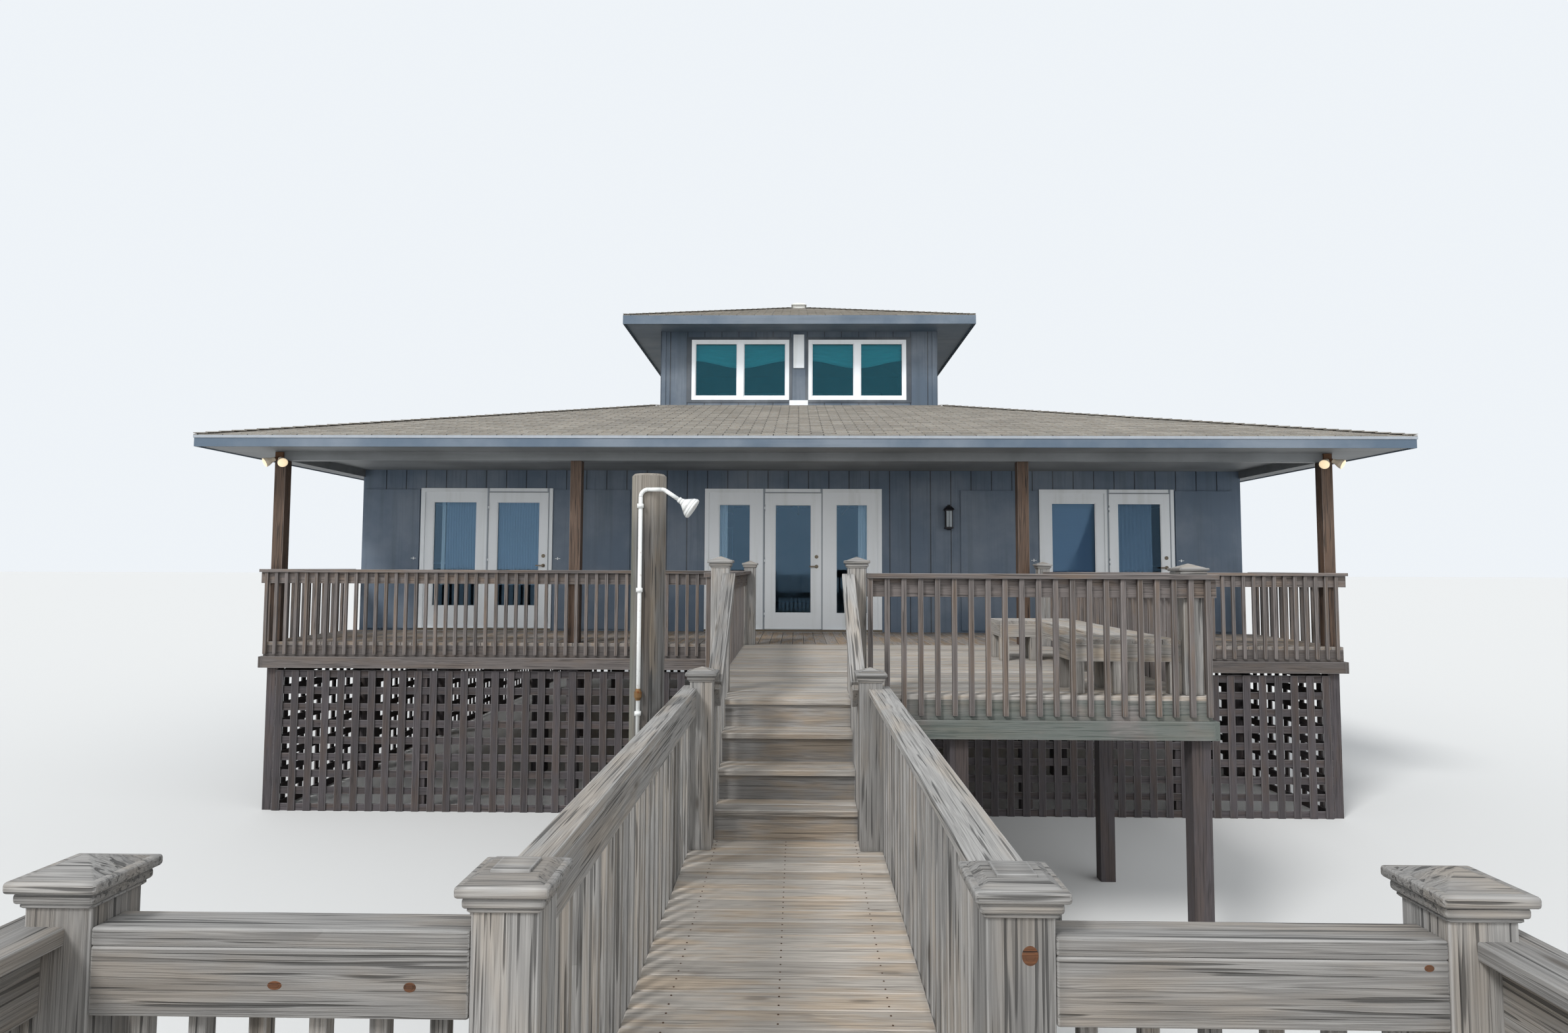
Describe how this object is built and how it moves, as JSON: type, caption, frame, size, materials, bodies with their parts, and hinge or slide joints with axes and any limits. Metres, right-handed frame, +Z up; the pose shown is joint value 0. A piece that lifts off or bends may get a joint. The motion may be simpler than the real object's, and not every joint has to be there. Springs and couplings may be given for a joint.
{
  "type": "raised timber beach house with porch, sun deck and boardwalk",
  "caption": "Square timber beach house on piles with a hip roof and glazed cupola, a front porch, a sun deck, a stair and a railed boardwalk platform.",
  "frame": {"origin": "on the ground, on the axis of the house, in the middle of the whole length from the platform's rail to the back eave", "axes": "+Y from the boardwalk into the house, +X to the right for someone facing the house front, +Z up"},
  "size_m": [14.76, 26.405, 8.5004],
  "materials": {
    "slate_siding": "satin",
    "weathered_wood": "matte",
    "dark_wood": "matte",
    "brown_post": "satin",
    "framing_wood": "matte",
    "roof_shingle": "matte",
    "fascia_paint": "satin",
    "soffit_paint": "satin",
    "white_paint": "satin",
    "clear_glass": "clear",
    "shutter_paint": "satin",
    "dark_metal": "satin",
    "white_metal": "satin",
    "door_metal": "brushed"
  },
  "bodies": {
    "house": {"foundation_piles": "dark_wood", "house_floor": "framing_wood", "left_wall": "slate_siding", "right_wall": "slate_siding", "back_wall": "slate_siding", "front_wall": "slate_siding", "front_wall_head": "slate_siding", "upper_floor": "framing_wood", "main_roof": "roof_shingle", "eave_fascia": "fascia_paint", "soffit": "soffit_paint", "porch_beams": "soffit_paint", "porch_posts": "brown_post", "cupola_walls": "slate_siding", "cupola_roof": "roof_shingle", "cupola_eaves": "fascia_paint", "roof_cap": "white_metal", "window_frames": "white_paint", "window_glass": "clear_glass", "middle_door_frame": "white_paint", "left_door_frame": "white_paint", "right_door_frame": "white_paint", "side_panel_glass": "clear_glass", "storm_shutters": "shutter_paint", "wall_lanterns": "dark_metal", "floodlights": "white_metal", "cupola_trim": "white_paint", "porch_deck": "weathered_wood", "sun_deck": "weathered_wood", "walkway_deck": "weathered_wood", "platform_deck": "weathered_wood", "deck_piers": "dark_wood", "rail_posts": "weathered_wood", "porch_rails": "weathered_wood", "sun_deck_rails": "weathered_wood", "walkway_rails": "weathered_wood", "platform_rails": "weathered_wood", "stair_steps": "weathered_wood", "stair_stringers": "weathered_wood", "stair_rails": "weathered_wood", "front_lattice": "dark_wood", "left_lattice": "dark_wood", "right_lattice": "dark_wood", "back_lattice": "dark_wood", "bench": "weathered_wood", "shower_post": "dark_wood", "shower_pipe": "white_metal"},
    "middle_door": {"middle_door_leaf": "white_paint", "middle_door_glass": "clear_glass", "middle_door_handle": "door_metal"},
    "left_door": {"left_door_leaf": "white_paint", "left_door_glass": "clear_glass", "left_door_handle": "door_metal"},
    "right_door": {"right_door_leaf": "white_paint", "right_door_glass": "clear_glass", "right_door_handle": "door_metal"}
  },
  "joints": [
    {"name": "middle_door_hinge", "type": "hinge", "parent": "house", "child": "middle_door", "pos_m": [-0.505, 1.0895, 3.16], "axis": [0, 0, -1], "range_deg": [0, 165]},
    {"name": "left_door_hinge", "type": "hinge", "parent": "house", "child": "left_door", "pos_m": [-4.6725, 1.0895, 3.16], "axis": [0, 0, -1], "range_deg": [0, 165]},
    {"name": "right_door_hinge", "type": "hinge", "parent": "house", "child": "right_door", "pos_m": [4.6325, 1.0895, 3.16], "axis": [0, 0, -1], "range_deg": [0, 165]}
  ]
}
